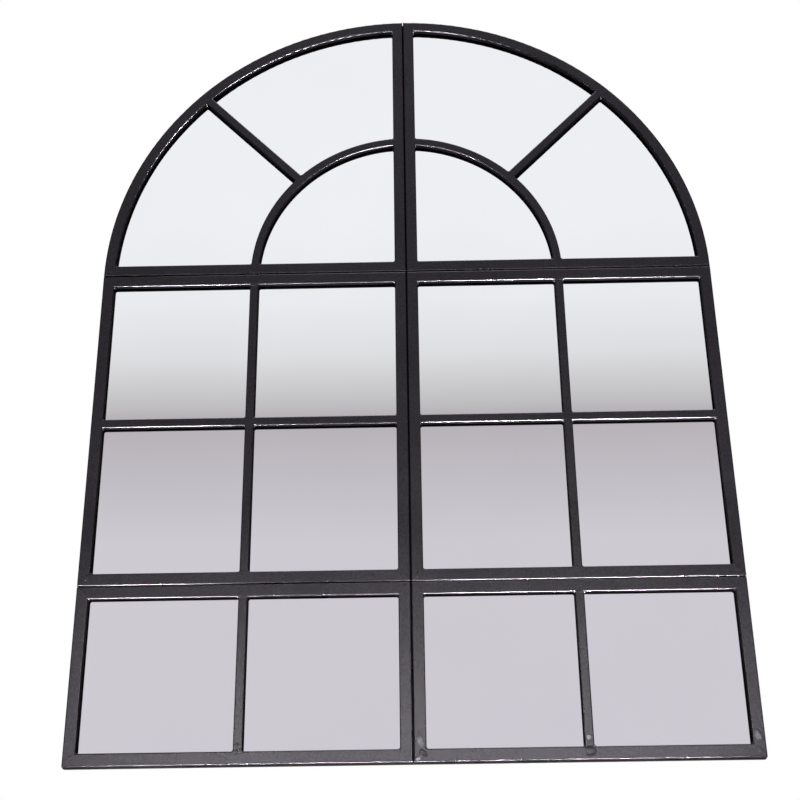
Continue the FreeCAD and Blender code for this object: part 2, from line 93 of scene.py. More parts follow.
def object_coords(tree, stretch=(1, 1, 1)):
    """Object coordinates, stretched along the axes."""
    place = tree.nodes.new("ShaderNodeTexCoord")
    mapping = tree.nodes.new("ShaderNodeMapping")
    mapping.inputs["Scale"].default_value = stretch
    tree.links.new(place.outputs["Object"], mapping.inputs["Vector"])
    return mapping.outputs["Vector"]


def part_along(tree, vector, axis):
    """The part of a vector along the axis "X", "Y" or "Z"."""
    node = tree.nodes.new("ShaderNodeSeparateXYZ")
    tree.links.new(vector, node.inputs["Vector"])
    return node.outputs[axis]


def noise(tree, coords, scale, detail, roughness):
    texture = tree.nodes.new("ShaderNodeTexNoise")
    texture.inputs["Scale"].default_value = scale
    texture.inputs["Detail"].default_value = detail
    texture.inputs["Roughness"].default_value = roughness
    tree.links.new(coords, texture.inputs["Vector"])
    return texture.outputs["Fac"]


def remap(tree, value, span, result):
    """Carry a value from one span (low, high) to another, held at both ends."""
    node = tree.nodes.new("ShaderNodeMapRange")
    node.inputs["From Min"].default_value = span[0]
    node.inputs["From Max"].default_value = span[1]
    node.inputs["To Min"].default_value = result[0]
    node.inputs["To Max"].default_value = result[1]
    tree.links.new(value, node.inputs["Value"])
    return node.outputs["Result"]


def combine(tree, operation, first, second):
    """Two values made one: "ADD", "MULTIPLY" or "MAXIMUM"."""
    node = tree.nodes.new("ShaderNodeMath")
    node.operation = operation
    tree.links.new(first, node.inputs[0])
    tree.links.new(second, node.inputs[1])
    return node.outputs["Value"]


def mix_colours(tree, factor, first, second):
    """From first to second as factor goes from 0 to 1. Each is a colour or a node's output."""
    node = tree.nodes.new("ShaderNodeMix")
    node.data_type = "RGBA"
    for name, colour in (("A", first), ("B", second)):
        if isinstance(colour, tuple):
            node.inputs[name].default_value = (*colour, 1)
        else:
            tree.links.new(colour, node.inputs[name])
    tree.links.new(factor, node.inputs["Factor"])
    return node.outputs["Result"]


def openness_for_painted_shade(tree, reach):
    """1 in the open, falling to 0 deep in seams and corners narrower than reach; the coat paints shade with
    it.
    """
    node = tree.nodes.new("ShaderNodeAmbientOcclusion")
    node.samples = 4
    node.inputs["Distance"].default_value = reach
    return node.outputs["AO"]


def raise_surface(tree, shader, height, distance):
    """Relief that stands up by distance where height goes from 0 to 1."""
    bump = tree.nodes.new("ShaderNodeBump")
    bump.inputs["Strength"].default_value = 1.0
    bump.inputs["Distance"].default_value = distance
    tree.links.new(height, bump.inputs["Height"])
    tree.links.new(bump.outputs["Normal"], shader.inputs["Normal"])


# ---------------------------------------------------------------- finishes

COAT_DEEP, COAT_LIT = (0.006, 0.0044, 0.0066), (0.0112, 0.0088, 0.0125)
COAT_MIDDLE = (0.0086, 0.0066, 0.0095)
COAT_SHEEN = (0.95, 0.89, 1.0)                 # the sheen's faint violet
RUBBED_METAL_AND_HIGHLIGHT = (0.74, 0.71, 0.75)
SILVER_HAZY, SILVER_CLEAR = (0.905, 0.912, 0.925), (0.925, 0.93, 0.94)
BACK_PAINT = (0.09, 0.085, 0.08)
BOARD_DARK, BOARD_PALE = (0.115, 0.062, 0.03), (0.2, 0.118, 0.06)
ZINC_DULL, ZINC_BRIGHT = (0.5, 0.51, 0.54), (0.66, 0.67, 0.69)

PAINTED_SHADE_REACH = 0.006                             # seams narrower than this get painted shade: the coat's sheen is cut there
WEAR_AND_HIGHLIGHT_SPAN = (FRONT - 0.00004, FRONT - 0.0004)  # depths at which the thick welds' rubbed wear and painted highlight begin and are full
FIBRE_STRETCH = (260, 260, 90)                 # the backboards' fibres are longest upright
FACING_SPAN = (-0.9, -0.8)                     # the normal's Y: below this a sheet is silver, above it paint


def black_powder_coat():
    """Satin black coat on steel: orange peel, mottled colour and a cloudy sheen, with painted shade dulling
    the sheen deep in seams and corners.
    """
    material, tree, shader = new_material("black_powder_coat")
    coords = object_coords(tree)
    clouds = noise(tree, coords, scale=9.0, detail=3.0, roughness=0.55)
    peel = noise(tree, coords, scale=260.0, detail=3.0, roughness=0.6)
    mottle = combine(tree, "ADD", remap(tree, clouds, NOISE_SPAN, (0, 0.5)),
                     remap(tree, peel, NOISE_CORE, (0, 0.5)))
    tree.links.new(mix_colours(tree, mottle, COAT_DEEP, COAT_LIT), shader.inputs["Base Color"])
    tree.links.new(remap(tree, clouds, NOISE_SPAN, (0.26, 0.3)), shader.inputs["Roughness"])
    # painted shade: the sheen is cut where ambient occlusion finds seams, corners and the rails' undersides
    # by the glass
    sheen = combine(tree, "MULTIPLY", remap(tree, peel, NOISE_CORE, (0.85, 1.2)),
                    remap(tree, openness_for_painted_shade(tree, PAINTED_SHADE_REACH), (0.1, 0.7), (0.05, 1)))
    tree.links.new(sheen, shader.inputs["Specular IOR Level"])
    shader.inputs["Specular Tint"].default_value = (*COAT_SHEEN, 1)
    waves = noise(tree, coords, scale=38.0, detail=2.0, roughness=0.5)
    relief = combine(tree, "ADD", waves, remap(tree, peel, (0, 1), (0, 0.02)))
    raise_surface(tree, shader, relief, 0.00003)
    return material


def rubbed_weld_with_painted_highlight():
    """Thick welds: black coat at the rim, light grey metal in spots on top, as rubbed wear and a painted
    highlight.
    """
    material, tree, shader = new_material("rubbed_weld_with_painted_highlight")
    coords = object_coords(tree)
    top = remap(tree, part_along(tree, coords, "Y"), WEAR_AND_HIGHLIGHT_SPAN, (0, 1))
    spots = noise(tree, coords, scale=420.0, detail=3.0, roughness=0.6)
    # painted highlight: the proud tops get light metal, partly rubbed wear and partly the lumps' light spots
    worn_and_highlit = combine(tree, "MULTIPLY", top, remap(tree, spots, (0.35, 0.6), (0.35, 1)))
    tree.links.new(mix_colours(tree, worn_and_highlit, COAT_MIDDLE, RUBBED_METAL_AND_HIGHLIGHT), shader.inputs["Base Color"])
    tree.links.new(remap(tree, worn_and_highlit, (0, 1), (0, 0.85)), shader.inputs["Metallic"])
    tree.links.new(remap(tree, worn_and_highlit, (0, 1), (0.28, 0.38)), shader.inputs["Roughness"])
    shader.inputs["Specular IOR Level"].default_value = 1.0
    shader.inputs["Specular Tint"].default_value = (*COAT_SHEEN, 1)
    raise_surface(tree, shader, noise(tree, coords, scale=160.0, detail=2.0, roughness=0.5), 0.00008)
    return material


def silvered_glass():
    """Mirror sheet: bright silver with the slightest wave and haze, and grey paint behind and round it."""
    material, tree, shader = new_material("silvered_glass")
    coords = object_coords(tree)
    haze = noise(tree, coords, scale=3.0, detail=4.0, roughness=0.6)
    wave = noise(tree, coords, scale=2.2, detail=1.0, roughness=0.4)
    silver = mix_colours(tree, remap(tree, haze, NOISE_CORE, (0, 1)), SILVER_HAZY, SILVER_CLEAR)
    normal = tree.nodes.new("ShaderNodeNewGeometry").outputs["True Normal"]
    painted = remap(tree, part_along(tree, normal, "Y"), FACING_SPAN, (0, 1))
    tree.links.new(mix_colours(tree, painted, silver, BACK_PAINT), shader.inputs["Base Color"])
    tree.links.new(remap(tree, painted, (0, 1), (1, 0)), shader.inputs["Metallic"])
    tree.links.new(remap(tree, painted, (0, 1), (0, 0.6)), shader.inputs["Roughness"])
    raise_surface(tree, shader, wave, 0.0002)
    return material


def brown_hardboard():
    """Backboard: pressed wood fibre, darker in flecks."""
    material, tree, shader = new_material("brown_hardboard")
    fibre = noise(tree, object_coords(tree, FIBRE_STRETCH), scale=1.0, detail=4.0, roughness=0.65)
    cloud = noise(tree, object_coords(tree), scale=14.0, detail=3.0, roughness=0.6)
    tone = combine(tree, "ADD", remap(tree, fibre, NOISE_CORE, (0, 0.7)),
                   remap(tree, cloud, NOISE_SPAN, (0, 0.3)))
    tree.links.new(mix_colours(tree, tone, BOARD_DARK, BOARD_PALE), shader.inputs["Base Color"])
    tree.links.new(remap(tree, fibre, NOISE_SPAN, (0.62, 0.78)), shader.inputs["Roughness"])
    raise_surface(tree, shader, fibre, 0.00012)
    return material


def zinc_plate():
    """Bolts, nuts and washers: bright zinc with a faint blue and dull rubbed spots."""
    material, tree, shader = new_material("zinc_plate")
    spots = noise(tree, object_coords(tree), scale=420.0, detail=3.0, roughness=0.6)
    shader.inputs["Metallic"].default_value = 1.0
    colour = mix_colours(tree, remap(tree, spots, NOISE_CORE, (0, 1)), ZINC_DULL, ZINC_BRIGHT)
    tree.links.new(colour, shader.inputs["Base Color"])
    tree.links.new(remap(tree, spots, NOISE_SPAN, (0.24, 0.42)), shader.inputs["Roughness"])
    raise_surface(tree, shader, spots, 0.00003)
    return material


def dress_nodes():
    """Give every carried-over piece the finish that its name calls for. Returns the coat."""
    coat, glass, board, zinc = black_powder_coat(), silvered_glass(), brown_hardboard(), zinc_plate()
    for name, piece in nodes.items():
        if name.endswith("_mirror"):
            finish = glass
        elif name.endswith("_backboard"):
            finish = board
        elif name in ("seam_bolts", "seam_nuts", "seam_washers"):
            finish = zinc
        else:
            finish = coat
        for slot in piece.material_slots:
            slot.material = finish
    return coat


# ---------------------------------------------------------------- making pieces

RIM_ANGLE = math.radians(60)                               # edges sharper than this stay crisp
QUARTER_TURN = Matrix.Rotation(math.radians(90), 3, "X")   # stands a flat shape up


def make_object(name, shape, finish):
    """Turn the shape into an object of the scene."""
    mesh = bpy.data.meshes.new(name)
    shape.to_mesh(mesh)
    shape.free()
    mesh.materials.append(finish)
    made = bpy.data.objects.new(name, mesh)
    scene.collection.objects.link(made)
    return made


def add_piece(name, shape, finish):
    """Make the shape a smooth steel piece of the mirror."""
    bmesh.ops.recalc_face_normals(shape, faces=shape.faces)
    for face in shape.faces:
        face.smooth = True
    for edge in shape.edges:
        edge.smooth = edge.calc_face_angle(0) < RIM_ANGLE
    piece = make_object(name, shape, finish)
    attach(piece, "root")


# ---------------------------------------------------------------- welds

DIAGONAL = math.sqrt(0.5)              # the spokes run at 45 degrees
BEAD_SIDES = 8
BEAD_TIP = 0.4                         # the ends of a bead, as a share of its thickness
RIPPLE, GROUND_RIPPLE = 0.14, 0.1      # the share of its thickness that a bead loses between ripples

# The radius of each kind of bead, the way from one ripple to the next, and the share of the height that
# grinding leaves.
FILLET_RADIUS, FILLET_STEP = 0.0015, 0.0008
MITRE_RADIUS, MITRE_STEP, MITRE_LEFT = 0.0034, 0.0025, 0.012
BAR_END_RADIUS, BAR_END_STEP, BAR_END_LEFT = 0.0022, 0.0015, 0.02
TAB_RADIUS, TAB_STEP = 0.0013, 0.0011
FLANGE_RADIUS, FLANGE_STEP = 0.0014, 0.001
HANGER_RADIUS, HANGER_STEP, HANGER_LEFT = 0.0018, 0.0012, 0.08

FILLET_INSET = 0.0005                  # a fillet stands this far into its pane,
FILLET_TOP = 0.0009                    # starts this far behind the rails' front
FILLET_FOOT = 0.0003                   # and ends this far in front of the glass
MITRE_CLEAR = 0.0015                   # a mitre line ends this far inside the panel's rounded edges
BAR_END_INSET = 0.0015                 # welds across a bar lie this far from its end
BAR_SIDE_CLEAR = 0.001                 # and stop this far from its sides
TAB_OFFSET = 0.0005                    # a tab's weld has its middle this far off the tab and the flange
TAB_CLEAR = 0.002                      # and stops this far from the tab's ends
TAB_TURN = 0.0145                      # half its length on the arch, in radians
TAB_MATCH = 0.0005                     # a tab this near the inside of a straight flange is welded to it
CORNER_INSET = FLANGE * 0.95           # flange corner beads stand this far in from the mitres' ends,
CORNER_FOOT = 0.0008                   # start this far behind the board
CORNER_TOP = 0.0006                    # and stop this far short of the wall
HANGER_ANGLES = (41, 43.7, 46.3, 49)   # degrees up the arch, at the ends and bends of the plate's bead

# Thick welds near the foot of the mirror: how far across, how far above the underside, half the width, half
# the height, how far proud, the lean in degrees and how softly the rim fades.
# these lumps' light metal tops are rubbed wear and a painted highlight
RUBBED_HIGHLIT_LUMPS = (
    (BAR_MIDDLE - 0.0005, 0.034, 0.0046, 0.0055, 0.00068, 0, 1),
    (BAR_MIDDLE + 0.0078, 0.0212, 0.0017, 0.0015, 0.00065, 0, 1),
    (0.0072, 0.0056, 0.0056, 0.0032, 0.00062, -25, 1),
    (0.0115, 0.031, 0.0068, 0.0135, 0.00026, -14, 3),
    (0.5385, 0.033, 0.0072, 0.0115, 0.0003, -15, 3),
)
COATED_LUMPS = (
    (BAR_MIDDLE + 0.0005, 0.0138, 0.0098, 0.0078, 0.00065, 0, 0.6),
    (0.0165, 0.014, 0.004, 0.008, 0.00065, -45, 0.5),
    (-BAR_MIDDLE + 0.0005, 0.0275, 0.0062, 0.0055, 0.00025, 0, 1),
    (-BAR_MIDDLE, 0.019, 0.0078, 0.004, 0.0002, 0, 1),
)
LUMP_ROUGHNESS, LUMP_WAVES = 0.2, 1.7  # how far noise pushes a lump's outline in and out, and how finely

TACK_RADIUS, TACK_BEAD = 0.002, 0.0003         # of the ring-shaped tack mark, and of its bead
TACK_PLACE = (-0.0065, FRONT, ARCH_BASE + 0.0115)


def lay_bead(shape, start, end, radius, step, ripple=RIPPLE):
    """A closed weld bead from start to end, rippled where each drop was laid. Returns its corners."""
    run = end - start
    count = max(3, round(run.length / step))
    turn = Vector((0, 0, 1)).rotation_difference(run).to_matrix()
    ring = bmesh.ops.create_circle(shape, cap_ends=True, segments=BEAD_SIDES,
                                   radius=radius * BEAD_TIP)["verts"]
    bmesh.ops.rotate(shape, verts=ring, cent=(0, 0, 0), matrix=turn)
    bmesh.ops.translate(shape, verts=ring, vec=start)
    laid = list(ring)
    tip = ring[0].link_faces[0]
    size = BEAD_TIP
    for number in range(1, count + 1):
        grown = bmesh.ops.extrude_face_region(shape, geom=[tip])["geom"]
        tip = [part for part in grown if isinstance(part, bmesh.types.BMFace)][0]
        corners = [part for part in grown if isinstance(part, bmesh.types.BMVert)]
        wanted = BEAD_TIP if number == count else 1.0 - ripple * (number % 2)
        bmesh.ops.translate(shape, verts=corners, vec=run / count)
        middle = Matrix.Translation(-tip.calc_center_median())
        bmesh.ops.scale(shape, verts=corners, vec=(wanted / size,) * 3, space=middle)
        laid += corners
        size = wanted
    return laid


def press_flat(shape, corners, level, share):
    """Grind a bead down: leave this share of its depth about a level."""
    bmesh.ops.scale(shape, verts=corners, vec=(1, share, 1), space=Matrix.Translation((0, -level, 0)))


def add_lump(shape, across, up, half_width, half_height, proud, lean, fade):
    """A ground-down lump of weld metal on the front face. The more fade, the softer its rim."""
    ball = bmesh.ops.create_icosphere(shape, subdivisions=3, radius=1.0)["verts"]
    drift = Vector((across * 40, up * 40, 0))          # gives each lump an outline of its own
    for corner in ball:
        corner.co *= 1 + LUMP_ROUGHNESS * mathnoise.noise(corner.co * LUMP_WAVES + drift)
        corner.co.y *= abs(corner.co.y) ** fade
    bmesh.ops.scale(shape, verts=ball, vec=(half_width, proud, half_height))
    bmesh.ops.rotate(shape, verts=ball, cent=(0, 0, 0), matrix=Matrix.Rotation(math.radians(lean), 3, "Y"))
    bmesh.ops.translate(shape, verts=ball, vec=(across, FRONT, up))


def gaps_between(boxes, axis):
    """The open stretches between neighbouring boxes along an axis (0 across, 2 up)."""
    row = sorted(boxes, key=lambda box: box[0][axis])
    return [(one[1][axis], other[0][axis]) for one, other in zip(row, row[1:])]


def straight_corners(side, row):
    """Each pane corner of a straight panel, with the way into the pane."""
    name = side + "_" + row + "_"
    upright = [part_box(name + part) for part in ("outer_stile", "upright_bar", "seam_stile")]
    level = [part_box(name + part) for part in ("bottom_rail", "top_rail")]
    if row == "mid":
        level.append(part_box(name + "cross_bar_outer"))
    places = []
    for left, right in gaps_between(upright, 0):
        for low, high in gaps_between(level, 2):
            places += [((left, low), (1, 1)), ((right, low), (-1, 1)),
                       ((left, high), (1, -1)), ((right, high), (-1, -1))]
    return places


def on_circle(radius, height):
    """How far across a circle about the arch's centre reaches at a height above its base."""
    return math.sqrt(radius ** 2 - height ** 2)


def arch_corners(hand):
    """Each pane corner of an arch panel, with the way into the pane. hand is 1 right, -1 left."""
    rail_inside = RADIUS - RAIL
    places = [((RAIL, RAIL), (1, 1))]
    for radius, way in ((ARC_INSIDE, -1), (ARC_OUTSIDE, 1), (rail_inside, -1)):
        reach = on_circle(radius, RAIL)
        places += [((reach, RAIL), (way, 1)), ((RAIL, reach), (1, way))]
    for radius, way in ((ARC_OUTSIDE, 1), (rail_inside, -1)):
        reach = on_circle(radius, BAR / 2)
        for turn in (1, -1):
            spread = turn * BAR / 2
            place = (reach + spread) * DIAGONAL, (reach - spread) * DIAGONAL
            places.append((place, (way + turn, way - turn)))
    return [((hand * across, ARCH_BASE + up), (hand * x, z)) for (across, up), (x, z) in places]


def weld_corners(side, row, hand, finish):
    """Small fillets of weld where rails and bars meet in the panes' corners."""
    shape = bmesh.new()
    places = arch_corners(hand) if row == "arch" else straight_corners(side, row)
    for (across, up), (x, z) in places:
        into = Vector((x, 0, z)).normalized() * FILLET_INSET
        start = Vector((across, FRONT + FILLET_TOP, up)) + into
        end = Vector((across, GLASS - FILLET_FOOT, up)) + into
        lay_bead(shape, start, end, FILLET_RADIUS, FILLET_STEP)
    add_piece(f"{side}_{row}_corner_welds", shape, finish)


def mitre_lines(side, row, hand):
    """The front mitre joints of a panel, each as its inner and its outer end."""
    if row == "arch":
        inside = on_circle(RADIUS - RAIL, RAIL)
        outside = RADIUS - MITRE_CLEAR
        lines = [((RAIL, RAIL), (MITRE_CLEAR, MITRE_CLEAR)),
                 ((inside, RAIL), (outside, MITRE_CLEAR)),
                 ((RAIL, inside), (MITRE_CLEAR, outside))]
        return [[(hand * across, ARCH_BASE + up) for across, up in line] for line in lines]
    rails = [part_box(f"{side}_{row}_{part}") for part in STRAIGHT_FRAME]
    left, right = min(box[0].x for box in rails), max(box[1].x for box in rails)
    low, high = min(box[0].z for box in rails), max(box[1].z for box in rails)
    return [[(x + step * inset, z + rise * inset) for inset in (RAIL, MITRE_CLEAR)]
            for x, step in ((left, 1), (right, -1)) for z, rise in ((low, 1), (high, -1))]


def weld_front(side, row, hand, finish):
    """Ground welds on the front: hardly raised ridges along the mitres, a radius short of their ends, and
    over the bars' ends."""
    shape = bmesh.new()
    for inner, outer in mitre_lines(side, row, hand):
        start, end = Vector((inner[0], FRONT, inner[1])), Vector((outer[0], FRONT, outer[1]))
        clear = (end - start).normalized() * MITRE_RADIUS
        bead = lay_bead(shape, start + clear, end - clear, MITRE_RADIUS, MITRE_STEP, GROUND_RIPPLE)
        press_flat(shape, bead, FRONT, MITRE_LEFT)
    if row != "arch":
        low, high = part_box(f"{side}_{row}_upright_bar")
        for up in (low.z + BAR_END_INSET, high.z - BAR_END_INSET):
            start = Vector((low.x + BAR_SIDE_CLEAR, FRONT, up))
            end = Vector((high.x - BAR_SIDE_CLEAR, FRONT, up))
            bead = lay_bead(shape, start, end, BAR_END_RADIUS, BAR_END_STEP, GROUND_RIPPLE)
            press_flat(shape, bead, FRONT, BAR_END_LEFT)
    add_piece(f"{side}_{row}_ground_welds", shape, finish)


def separate_bits(name):
    """The box of each separate bit of steel in a piece, as (low, high)."""
    shape = bmesh.new()
    shape.from_mesh(nodes[name].data)
    bmesh.ops.remove_doubles(shape, verts=shape.verts, dist=0.00001)
    boxes = []
    for first in shape.verts:
        if first.tag:
            continue
        first.tag = True
        bit = [first]
        for corner in bit:
            for edge in corner.link_edges:
                other = edge.other_vert(corner)
                if not other.tag:
                    other.tag = True
                    bit.append(other)
        boxes.append((Vector([min(corner.co[axis] for corner in bit) for axis in range(3)]),
                      Vector([max(corner.co[axis] for corner in bit) for axis in range(3)])))
    shape.free()
    return boxes


def straight_root(tab, panel):
    """The ends of a tab's weld on a straight flange of the panel, or None where it sits on the arch."""
    low, high = tab
    ends = None
    for axis, along in ((0, 2), (2, 0)):
        for edge, place, way in ((panel[0], low, 1), (panel[1], high, -1)):
            if abs(abs(place[axis] - edge[axis]) - FLANGE) > TAB_MATCH:
                continue
            start = (low + high) / 2
            end = start.copy()
            start[axis] = end[axis] = place[axis] + way * TAB_OFFSET
            start[along], end[along] = low[along] + TAB_CLEAR, high[along] - TAB_CLEAR
            ends = start, end
    return ends


def on_arch(hand, reach, angle):
    """A point this far from the arch's centre, at an angle in radians above its base."""
    return Vector((hand * reach * math.cos(angle), 0, ARCH_BASE + reach * math.sin(angle)))


def weld_tabs(side, row, hand, shape):
    """A bead along the root of each board tab, on its side towards the wall."""
    name = f"{side}_{row}_"
    rails = [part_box(name + part) for part in (ARCH_FRAME if row == "arch" else STRAIGHT_FRAME)]
    panel = ([min(box[0][axis] for box in rails) for axis in range(3)],
             [max(box[1][axis] for box in rails) for axis in range(3)])
    for tab in separate_bits(name + "board_tabs"):
        ends = straight_root(tab, panel)
        if ends is None:
            middle = (tab[0] + tab[1]) / 2
            angle = math.atan2(middle.z - ARCH_BASE, abs(middle.x))
            reach = RADIUS - FLANGE - TAB_OFFSET
            ends = [on_arch(hand, reach, angle + turn) for turn in (-TAB_TURN, TAB_TURN)]
        for end in ends:
            end.y = TAB_BACK + TAB_OFFSET
        lay_bead(shape, ends[0], ends[1], TAB_RADIUS, TAB_STEP)


def weld_flange_corners(side, row, hand, shape):
    """A bead in each corner where two flanges meet, from the board towards the wall."""
    for inner, outer in mitre_lines(side, row, hand):
        way = Vector((inner[0] - outer[0], 0, inner[1] - outer[1])).normalized()
        foot = Vector((outer[0], 0, outer[1])) + way * CORNER_INSET
        start = Vector((foot.x, BOARD_BACK + CORNER_FOOT, foot.z))
        end = Vector((foot.x, -CORNER_TOP, foot.z))
        lay_bead(shape, start, end, FLANGE_RADIUS, FLANGE_STEP)


def weld_hanger(hand, shape):
    """A flattened bead between the hanger plate and the arch's flange."""
    points = [on_arch(hand, RADIUS - FLANGE, math.radians(angle)) for angle in HANGER_ANGLES]
    for start, end in zip(points, points[1:]):
        press_flat(shape, lay_bead(shape, start, end, HANGER_RADIUS, HANGER_STEP), 0, HANGER_LEFT)


def weld_back(side, row, hand, finish):
    """Beads seen from behind: tabs, flange corners and, on the arch, the hanger plate."""
    shape = bmesh.new()
    weld_tabs(side, row, hand, shape)
    weld_flange_corners(side, row, hand, shape)
    if row == "arch":
        weld_hanger(hand, shape)
    add_piece(f"{side}_{row}_back_welds", shape, finish)


def weld_lumps(name, lumps, finish):
    """The welds that were left thick: bar feet and corners of the low panels."""
    shape = bmesh.new()
    for across, above, *sizes in lumps:
        add_lump(shape, across, BOTTOM + above, *sizes)
    add_piece(name, shape, finish)


def mark_tack(finish):
    """A thin ring of weld on the left arch panel's base rail."""
    shape = bmesh.new()
    ring = bmesh.ops.create_circle(shape, segments=8, radius=TACK_BEAD)["verts"]
    bmesh.ops.translate(shape, verts=ring, vec=(TACK_RADIUS, 0, 0))
    bmesh.ops.rotate(shape, verts=ring, cent=(0, 0, 0), matrix=QUARTER_TURN)
    bmesh.ops.spin(shape, geom=shape.edges[:], cent=(0, 0, 0), axis=(0, 0, 1), angle=math.tau, steps=24,
                   use_merge=True)
    bmesh.ops.rotate(shape, verts=shape.verts, cent=(0, 0, 0), matrix=QUARTER_TURN)
    bmesh.ops.translate(shape, verts=shape.verts, vec=TACK_PLACE)
    add_piece("left_arch_tack_mark", shape, finish)


def weld_panels(coat, rubbed):
    for side, hand in (("left", -1), ("right", 1)):
        for row in ("arch", "mid", "low"):
            weld_corners(side, row, hand, coat)
            weld_front(side, row, hand, coat)
            weld_back(side, row, hand, coat)
    # light metal tops here: rubbed wear and a painted highlight
    weld_lumps("right_low_rubbed_highlit_welds", RUBBED_HIGHLIT_LUMPS, rubbed)
    weld_lumps("low_coated_welds", COATED_LUMPS, coat)
    mark_tack(coat)


# ---------------------------------------------------------------- studio

FLOOR_DROP = 0.75          # the mirror hangs this far above the floor
FLOOR_RADIUS = 7.0
FLOOR_DULL, FLOOR_PALE = (0.8, 0.8, 0.81), (0.84, 0.84, 0.845)
WALL_AHEAD = 4.6           # pale studio wall in front of the mirror, behind the camera
WALL_WIDTH = 12.0
WALL_TOP = 5.5
SHADE_SPAN = (-1.0, 2.2)   # the wall's tones run from one of these heights to the other
WALL_TONES = (             # share of the way up, and colour
    (0.0, (0.66, 0.635, 0.69)),
    (0.45, (0.67, 0.64, 0.69)),
    (0.655, (0.5, 0.47, 0.5)),
    (0.672, (0.56, 0.545, 0.55)),
    (0.76, (0.79, 0.79, 0.8)),
    (0.86, (0.89, 0.9, 0.92)),
    (1.0, (0.93, 0.935, 0.95)),
)

ROOM_FILL = 0.3            # how strongly the studio lights matt surfaces
ROOM_NEAR = 0.26           # how strongly satin surfaces mirror its wall and floor
ROOM_FAR = 0.01            # the same for its air, and for all of it after another bounce
ONCE_MIRRORED = 1.5        # a wall or floor mirrored once has a smaller ray depth than this,
AIR_ONCE_MIRRORED = 2.5    # and air a smaller one than this, because the air counts one more


def shallower(tree, rays, depth):
    """1 where the ray depth is smaller than depth, or else 0."""
    node = tree.nodes.new("ShaderNodeMath")
    node.operation = "LESS_THAN"
    node.inputs[1].default_value = depth
    tree.links.new(rays.outputs["Ray Depth"], node.inputs[0])
    return node.outputs["Value"]


def seen_directly(tree, mirrored=ONCE_MIRRORED):
    """How strongly the studio shows: 1 to the camera and in a mirror sheet, less as light on the rest."""
    rays = tree.nodes.new("ShaderNodeLightPath")
    sharp = combine(tree, "MULTIPLY", rays.outputs["Is Glossy Ray"], rays.outputs["Is Singular Ray"])
    shown = combine(tree, "MAXIMUM", rays.outputs["Is Camera Ray"], sharp)
    shown = combine(tree, "MAXIMUM", shown, rays.outputs["Is Transmission Ray"])
    shown = combine(tree, "MULTIPLY", shown, shallower(tree, rays, mirrored))
    dim = remap(tree, shallower(tree, rays, ONCE_MIRRORED), (0, 1), (ROOM_FAR, ROOM_NEAR))
    fill = remap(tree, rays.outputs["Is Diffuse Ray"], (0, 1), (0, ROOM_FILL))
    unseen = combine(tree, "MAXIMUM", dim, fill)
    return combine(tree, "MAXIMUM", shown, unseen)


def make_floor():
    shape = bmesh.new()
    bmesh.ops.create_circle(shape, cap_ends=True, radius=FLOOR_RADIUS, segments=96)
    bmesh.ops.translate(shape, verts=shape.verts, vec=(0, 0, BOTTOM - FLOOR_DROP))
    material, tree, shader = new_material("pale_floor")
    grain = noise(tree, object_coords(tree), scale=6.0, detail=3.0, roughness=0.5)
    colour = mix_colours(tree, grain, FLOOR_DULL, FLOOR_PALE)
    tree.links.new(mix_colours(tree, seen_directly(tree), (0, 0, 0), colour), shader.inputs["Base Color"])
    shader.inputs["Roughness"].default_value = 0.9
    floor = make_object("studio_floor", shape, material)


def studio_wall_paint():
    """Glowing paint: white above, shading to pale grey lower down."""
    material = bpy.data.materials.new("studio_wall_paint")
    material.use_nodes = True
    tree = material.node_tree
    tree.nodes.clear()
    ramp = tree.nodes.new("ShaderNodeValToRGB")
    stops = ramp.color_ramp.elements
    while len(stops) < len(WALL_TONES):
        stops.new(0.5)
    for stop, (place, tone) in zip(stops, WALL_TONES):
        stop.position = place
        stop.color = (*tone, 1)
    shade = remap(tree, part_along(tree, object_coords(tree), "Z"), SHADE_SPAN, (0, 1))
    tree.links.new(shade, ramp.inputs["Fac"])
    glow = tree.nodes.new("ShaderNodeEmission")
    tree.links.new(ramp.outputs["Color"], glow.inputs["Color"])
    tree.links.new(seen_directly(tree), glow.inputs["Strength"])
    output = tree.nodes.new("ShaderNodeOutputMaterial")
    tree.links.new(glow.outputs["Emission"], output.inputs["Surface"])
    return material


def make_studio_wall():
    """The wall that the mirror looks at."""
    low, high = BOTTOM - FLOOR_DROP, WALL_TOP
    shape = bmesh.new()
    bmesh.ops.create_grid(shape, x_segments=1, y_segments=1, size=0.5)
    bmesh.ops.scale(shape, verts=shape.verts, vec=(WALL_WIDTH, high - low, 1))
    bmesh.ops.rotate(shape, verts=shape.verts, cent=(0, 0, 0), matrix=QUARTER_TURN)
    bmesh.ops.translate(shape, verts=shape.verts, vec=(0, -WALL_AHEAD, (low + high) / 2))
    wall = make_object("studio_wall", shape, studio_wall_paint())
    wall.visible_camera = False
    wall.visible_shadow = False


def set_world():
    """White air where it is seen or mirrored once, and a plain fill elsewhere."""
    world = bpy.data.worlds.new("studio_air")
    scene.world = world
    world.use_nodes = True
    tree = world.node_tree
    tree.nodes.clear()
    air = tree.nodes.new("ShaderNodeBackground")
    air.inputs["Color"].default_value = (1, 1, 1, 1)
    tree.links.new(seen_directly(tree, mirrored=AIR_ONCE_MIRRORED), air.inputs["Strength"])
    output = tree.nodes.new("ShaderNodeOutputWorld")
    tree.links.new(air.outputs["Background"], output.inputs["Surface"])


# ---------------------------------------------------------------- lamps

